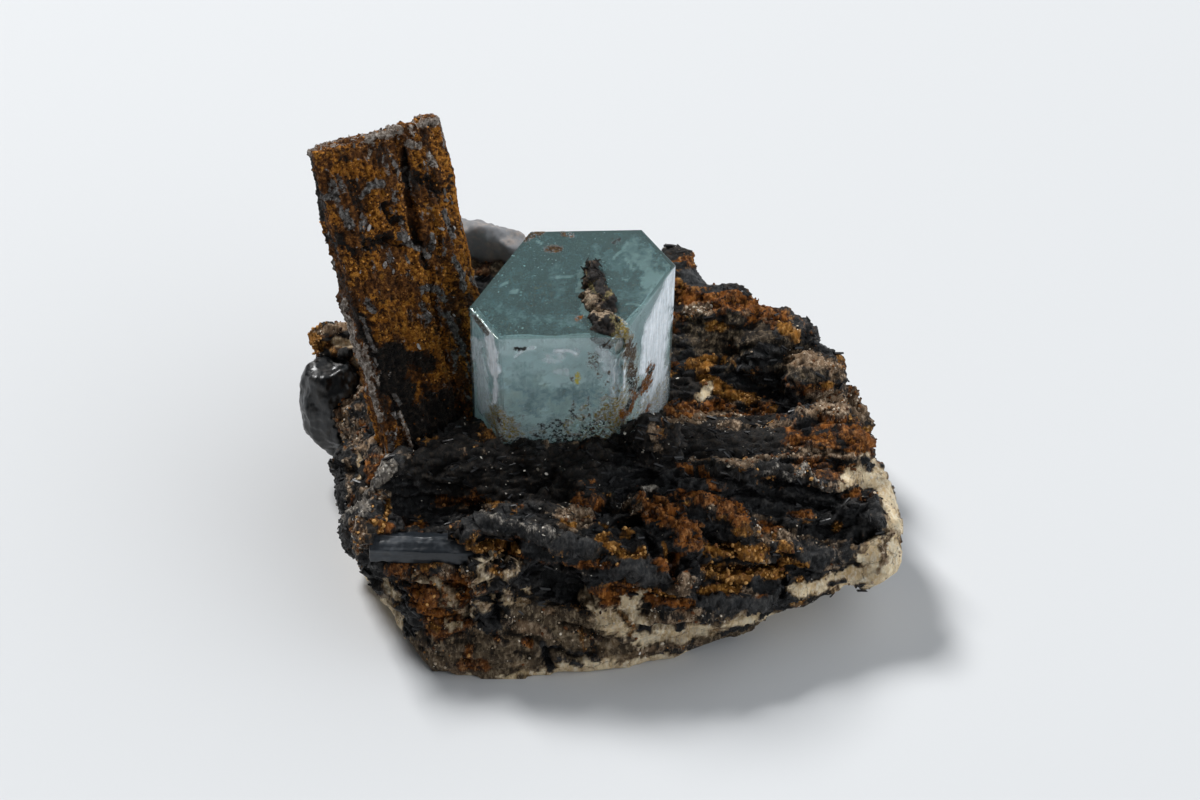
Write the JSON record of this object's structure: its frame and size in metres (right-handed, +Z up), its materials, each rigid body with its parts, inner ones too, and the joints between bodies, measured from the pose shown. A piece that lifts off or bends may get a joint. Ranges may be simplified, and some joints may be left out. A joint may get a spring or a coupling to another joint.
{
  "type": "aquamarine crystal specimen",
  "caption": "Hand-sized mineral specimen: a flat-topped aquamarine prism on dark matrix, with a rust-coated prism leaning beside it and smaller dark crystals.",
  "frame": {"origin": "on the flat foot of the matrix, about under the middle of the aquamarine", "axes": "+Z up, -Y towards the front with the broad aquamarine face, +X to the right"},
  "size_m": [0.0485, 0.0384, 0.0325],
  "materials": {
    "matrix_rock": "rough black, rust and pale feldspar rock",
    "aquamarine_beryl": "cloudy pale blue-green crystal with satin faces",
    "brown_crust": "crumbly brown and cream crust",
    "rust_coat": "rust crust with grey flakes",
    "black_tourmaline": "dark glossy striated crystal",
    "grey_plate": "matt grey and brown mica plate"
  },
  "bodies": {
    "root": {"matrix": "matrix_rock", "aquamarine": "aquamarine_beryl", "edge_crust": "brown_crust", "standing_prism": "rust_coat", "black_crystal": "black_tourmaline", "ledge_crystal": "black_tourmaline", "back_plate": "grey_plate"}
  },
  "joints": []
}
